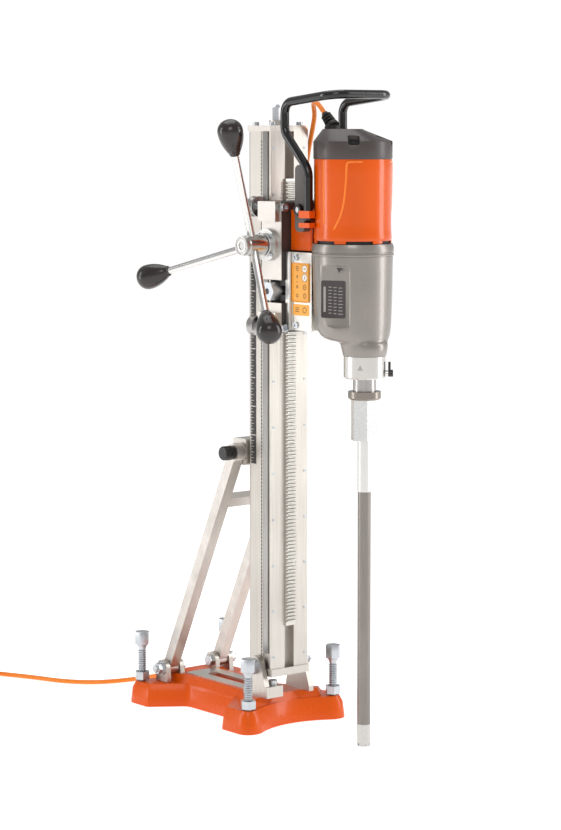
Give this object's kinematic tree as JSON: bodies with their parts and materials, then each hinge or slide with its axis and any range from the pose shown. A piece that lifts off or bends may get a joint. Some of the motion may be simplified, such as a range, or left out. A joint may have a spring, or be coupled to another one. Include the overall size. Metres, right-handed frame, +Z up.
{
  "type": "core drill rig",
  "caption": "Core drill rig: tilting rack column on a cast base with rear struts, crank-fed carriage, electric drill motor, core bit and mains lead.",
  "frame": {"origin": "on the ground under the middle of the base, inside the anchor slot", "axes": "+Z up along the column, -Y towards the drill motor, -X towards the feed crank"},
  "size_m": [0.5084, 0.9648, 1.1005],
  "materials": {
    "orange_enamel": "gloss enamel over cast aluminium",
    "orange_plastic": "moulded",
    "dark_plastic": "fine grain",
    "anodised": "satin anodised",
    "cast_grey": "satin lacquer",
    "bright_aluminium": "milled",
    "zinc_steel": "bright zinc plated",
    "bright_steel": "ground",
    "bronze": "turned",
    "black_tube": "black powder coat",
    "black_rubber": "moulded",
    "orange_rubber": "cable jacket",
    "tape": "printed scale",
    "laminations": "stacked sheet with windings"
  },
  "bodies": {
    "base": {"base_plate": "orange_enamel", "anchor_slot_plate": "anodised", "base_fasteners": "zinc_steel", "base_lugs": "anodised", "cord_lower": "orange_rubber", "cord_coil": "orange_rubber", "plug": "black_rubber"},
    "column": {"column_profile": "anodised", "column_guides": "bright_steel", "column_wear_plates": "anodised", "rack": "bright_steel", "column_screws": "zinc_steel", "column_top_plate": "anodised", "column_foot": "anodised", "ruler_tape": "tape"},
    "jack": {"jack_spindle": "zinc_steel"},
    "struts": {"strut_frame": "anodised"},
    "clamp": {"clamp_block": "anodised", "clamp_bolt": "zinc_steel"},
    "clamp_knob": {"clamp_knob": "black_rubber"},
    "clamp_slider": {"clamp_slider": "bright_steel"},
    "carriage": {"carriage_body": "anodised", "roller_axles": "zinc_steel", "bearing_flange": "bright_steel", "carriage_screws": "zinc_steel", "bearings": "bright_steel", "adaptor_block": "bright_aluminium", "motor_mount_plate": "orange_enamel", "gear_housing": "cast_grey", "gear_cover": "cast_grey", "motor_shell": "orange_plastic", "motor_cap": "dark_plastic", "stator": "laminations", "brush_gear": "dark_plastic", "water_collar": "bright_aluminium", "handle_tube": "black_tube", "handle_brackets": "dark_plastic", "cord_gland": "black_rubber", "cord_upper": "orange_rubber"},
    "crank": {"pinion_shaft": "bright_steel", "crank_arms": "zinc_steel", "crank_knobs": "dark_plastic"},
    "clamp_screw": {"clamp_screw": "zinc_steel"},
    "spindle": {"spindle": "bright_steel", "bit_adaptor": "zinc_steel", "bit_tube": "bright_steel", "bit_crown": "bright_steel"},
    "layshaft": {"layshaft": "bright_steel"},
    "armature": {"armature": "laminations"},
    "water_lever": {"water_lever": "black_rubber"},
    "power_switch": {"power_switch": "black_rubber"},
    "gear_selector": {"gear_selector": "black_rubber"},
    "roller_upper_left": {"guide_roller_upper_left": "bright_steel"},
    "roller_upper_right": {"guide_roller_upper_right": "bright_steel"},
    "roller_lower_left": {"guide_roller_lower_left": "bright_steel"},
    "roller_lower_right": {"guide_roller_lower_right": "bright_steel"},
    "levelling_front_left": {"levelling_screw_front_left": "zinc_steel"},
    "levelling_front_right": {"levelling_screw_front_right": "zinc_steel"},
    "levelling_rear_left": {"levelling_screw_rear_left": "zinc_steel"},
    "levelling_rear_right": {"levelling_screw_rear_right": "zinc_steel"}
  },
  "joints": [
    {"name": "column_tilt", "type": "hinge", "parent": "base", "child": "column", "pos_m": [0, -0.1175, 0.104], "axis": [-1, 0, 0], "range_deg": [0, 45], "deforming": ["cord_lower"]},
    {"name": "strut_swing", "type": "hinge", "parent": "base", "child": "struts", "pos_m": [0, 0.122, 0.064], "axis": [-1, 0, 0], "range_deg": [0, 50.9]},
    {"name": "clamp_turn", "type": "hinge", "parent": "struts", "child": "clamp", "pos_m": [0, -0.073, 0.475], "axis": [-1, 0, 0], "range_deg": [-5.9, 0]},
    {"name": "clamp_slide", "type": "slide", "parent": "column", "child": "clamp_slider", "axis": [0, 0, 1], "range_m": [0, 0.199]},
    {"name": "clamp_knob_turn", "type": "hinge", "parent": "clamp", "child": "clamp_knob", "pos_m": [-0.078, -0.073, 0.475], "axis": [-1, 0, 0], "range_deg": [0, 360]},
    {"name": "jack_lift", "type": "slide", "parent": "column", "child": "jack", "axis": [0, 0, 1], "range_m": [0, 0.08]},
    {"name": "feed", "type": "slide", "parent": "column", "child": "carriage", "axis": [0, 0, 1], "range_m": [-0.55, 0.09], "deforming": ["cord_upper"]},
    {"name": "crank_turn", "type": "hinge", "parent": "carriage", "child": "crank", "pos_m": [-0.1, -0.173, 0.84], "axis": [1, 0, 0], "range_deg": [-288, 1753]},
    {"name": "clamp_screw_turn", "type": "hinge", "parent": "carriage", "child": "clamp_screw", "pos_m": [-0.07, -0.185, 0.762], "axis": [-1, 0, 0], "range_deg": [0, 180]},
    {"name": "spindle_spin", "type": "hinge", "parent": "carriage", "child": "spindle", "pos_m": [0, -0.347, 0.3], "axis": [0, 0, 1], "continuous": true},
    {"name": "layshaft_spin", "type": "hinge", "parent": "carriage", "child": "layshaft", "pos_m": [0.0295, -0.32148, 0.78], "axis": [0, 0, 1], "continuous": true},
    {"name": "armature_spin", "type": "hinge", "parent": "carriage", "child": "armature", "pos_m": [0, -0.316, 0.9], "axis": [0, 0, 1], "continuous": true},
    {"name": "water_lever_turn", "type": "hinge", "parent": "carriage", "child": "water_lever", "pos_m": [0.03123, -0.37199, 0.63], "axis": [0.7809, -0.6247, 0], "range_deg": [0, 90]},
    {"name": "power_switch_slide", "type": "slide", "parent": "carriage", "child": "power_switch", "axis": [0, 0, 1], "range_m": [0, 0.006]},
    {"name": "gear_selector_turn", "type": "hinge", "parent": "carriage", "child": "gear_selector", "pos_m": [0.07, -0.316, 0.76], "axis": [1, 0, 0], "range_deg": [-60, 60]},
    {"name": "roller_upper_left_roll", "type": "hinge", "parent": "carriage", "child": "roller_upper_left", "pos_m": [-0.06, -0.134, 0.904], "axis": [0, 1, 0], "range_deg": [-2013, 331]},
    {"name": "roller_upper_right_roll", "type": "hinge", "parent": "carriage", "child": "roller_upper_right", "pos_m": [0.06, -0.134, 0.904], "axis": [0, 1, 0], "range_deg": [-331, 2013]},
    {"name": "roller_lower_left_roll", "type": "hinge", "parent": "carriage", "child": "roller_lower_left", "pos_m": [-0.06, -0.134, 0.7], "axis": [0, 1, 0], "range_deg": [-2013, 331]},
    {"name": "roller_lower_right_roll", "type": "hinge", "parent": "carriage", "child": "roller_lower_right", "pos_m": [0.06, -0.134, 0.7], "axis": [0, 1, 0], "range_deg": [-331, 2013]},
    {"name": "levelling_front_left_screw", "type": "slide", "parent": "base", "child": "levelling_front_left", "axis": [0, 0, 1], "range_m": [-0.035, 0.03]},
    {"name": "levelling_front_right_screw", "type": "slide", "parent": "base", "child": "levelling_front_right", "axis": [0, 0, 1], "range_m": [-0.035, 0.03]},
    {"name": "levelling_rear_left_screw", "type": "slide", "parent": "base", "child": "levelling_rear_left", "axis": [0, 0, 1], "range_m": [-0.035, 0.03]},
    {"name": "levelling_rear_right_screw", "type": "slide", "parent": "base", "child": "levelling_rear_right", "axis": [0, 0, 1], "range_m": [-0.035, 0.03]}
  ],
  "couplings": [
    {"joint": "strut_swing", "follows": "column_tilt", "ratio": 1.1269},
    {"joint": "clamp_turn", "follows": "column_tilt", "ratio": -0.1269},
    {"joint": "clamp_slide", "follows": "column_tilt", "m_per_rad": 0.25265},
    {"joint": "crank_turn", "follows": "feed", "rad_per_m": -55.556},
    {"joint": "layshaft_spin", "follows": "spindle_spin", "ratio": -2.25},
    {"joint": "armature_spin", "follows": "spindle_spin", "ratio": 6.75},
    {"joint": "roller_upper_left_roll", "follows": "feed", "rad_per_m": 63.816},
    {"joint": "roller_upper_right_roll", "follows": "feed", "rad_per_m": -63.816},
    {"joint": "roller_lower_left_roll", "follows": "feed", "rad_per_m": 63.816},
    {"joint": "roller_lower_right_roll", "follows": "feed", "rad_per_m": -63.816}
  ]
}
